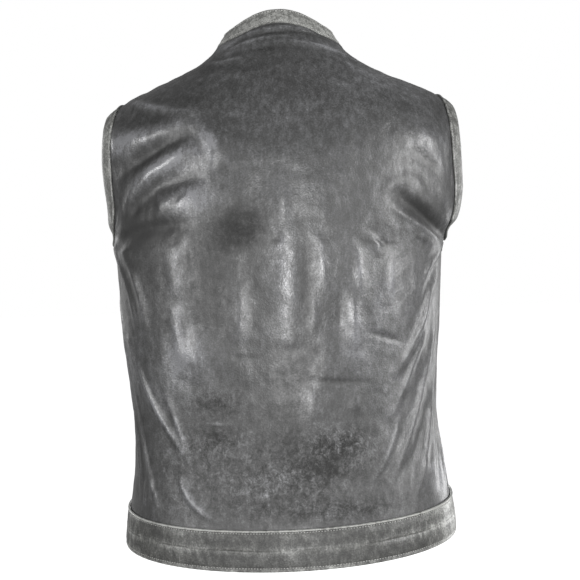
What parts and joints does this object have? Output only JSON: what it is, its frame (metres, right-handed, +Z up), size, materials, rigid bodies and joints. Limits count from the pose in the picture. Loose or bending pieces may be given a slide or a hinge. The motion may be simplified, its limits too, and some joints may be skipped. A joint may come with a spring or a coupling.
{
  "type": "leather vest",
  "caption": "Sleeveless grey leather vest with a plain back, short stand collar, banded armholes and a deep hem band, closed with snaps down the front",
  "frame": {"origin": "the middle of the neck opening, at the height where the shoulder seams meet the collar, where the wearer's shoulders hold the vest", "axes": "+Z up, from hem to collar, the longest extent; +Y towards the back, the shortest extent; +X towards the wearer's left"},
  "size_m": [0.4382, 0.263, 0.6632],
  "materials": {
    "panel_leather": "worn mid-grey leather with soft sheen, mottled and lightly scuffed",
    "trim_leather": "the same leather folded into bands, its folds rubbed light",
    "snap_metal": "dark nickel snap caps"
  },
  "bodies": {
    "root": {"back": "panel_leather", "front_left": "panel_leather", "front_right": "panel_leather", "collar": "trim_leather", "armhole_band_left": "trim_leather", "armhole_band_right": "trim_leather", "hem_band_back": "trim_leather", "hem_band_front_left": "trim_leather", "hem_band_front_right": "trim_leather", "snap_1": "snap_metal", "snap_2": "snap_metal", "snap_3": "snap_metal", "snap_4": "snap_metal", "snap_5": "snap_metal", "snap_6": "snap_metal"}
  },
  "joints": []
}
